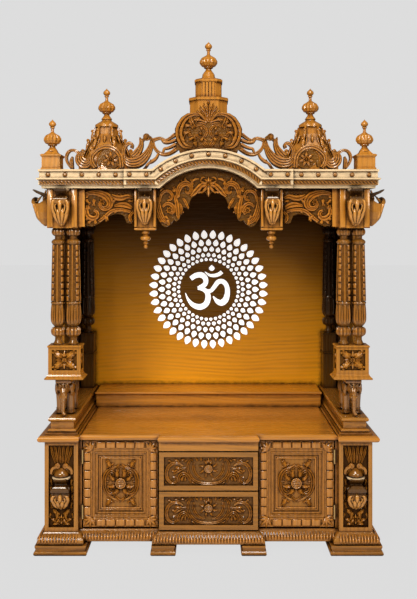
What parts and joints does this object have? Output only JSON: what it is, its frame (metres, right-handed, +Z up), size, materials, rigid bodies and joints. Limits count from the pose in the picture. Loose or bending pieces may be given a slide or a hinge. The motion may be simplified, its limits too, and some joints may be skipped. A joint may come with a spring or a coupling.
{
  "type": "pooja mandir",
  "caption": "Free-standing carved home temple with a two-door cabinet, drawers, an open shrine on turned columns, an arched cornice, an open-work crest, domes and a tower.",
  "frame": {"origin": "centre of the footprint on the floor", "axes": "+Z up, +X to the right seen from the front, the front faces -Y"},
  "size_m": [1.278, 0.623, 1.9013],
  "materials": {
    "teak": "gloss varnish",
    "teak_dark": "gloss varnish",
    "teak_light": "gloss varnish",
    "brass": "satin",
    "inlay": "satin"
  },
  "bodies": {
    "mandir": {"feet": "teak_dark", "base_moulding": "teak", "cabinet_floor": "teak", "pier_left": "teak", "pier_right": "teak", "pier_corbels": "teak_light", "cabinet_side_left": "teak", "cabinet_side_right": "teak", "cabinet_back": "teak", "partitions": "teak", "drawer_rail": "teak", "drawer_runners": "teak", "door_stiles": "teak", "door_hinges": "brass", "platform_board": "teak_light", "sill_left": "teak", "sill_right": "teak", "back_step": "teak_light", "elephants": "teak_dark", "column_boxes": "teak", "front_columns_left": "teak", "front_columns_right": "teak", "rear_columns": "teak_dark", "capital_blocks": "teak_light", "capital_corbels": "teak_light", "side_panels": "teak_dark", "back_panel": "teak_light", "emblem_petals": "inlay", "om_sign": "inlay", "side_valances": "teak", "arch_valance": "teak", "pendants": "teak_light", "cornice_left": "teak_light", "cornice_right": "teak_light", "cornice_centre": "teak_light", "cornice_sides": "teak_light", "roof_deck": "teak", "crest_left": "teak_dark", "crest_right": "teak_dark", "crest_centre": "teak_dark", "domes": "teak", "tower": "teak", "corner_finials": "teak_light"},
    "door_left": {"door_left": "teak_light", "door_left_leaves": "brass"},
    "door_right": {"door_right": "teak_light", "door_right_leaves": "brass"},
    "drawer_upper": {"drawer_upper": "teak_light"},
    "drawer_lower": {"drawer_lower": "teak_light"}
  },
  "joints": [
    {"name": "door_left_hinge", "type": "hinge", "parent": "mandir", "child": "door_left", "pos_m": [-0.4525, -0.256, 0.236], "axis": [0, 0, -1], "range_deg": [0, 95]},
    {"name": "door_right_hinge", "type": "hinge", "parent": "mandir", "child": "door_right", "pos_m": [0.4525, -0.256, 0.236], "axis": [0, 0, 1], "range_deg": [0, 95]},
    {"name": "drawer_upper_slide", "type": "slide", "parent": "mandir", "child": "drawer_upper", "axis": [0, -1, 0], "range_m": [0, 0.35]},
    {"name": "drawer_lower_slide", "type": "slide", "parent": "mandir", "child": "drawer_lower", "axis": [0, -1, 0], "range_m": [0, 0.35]}
  ]
}
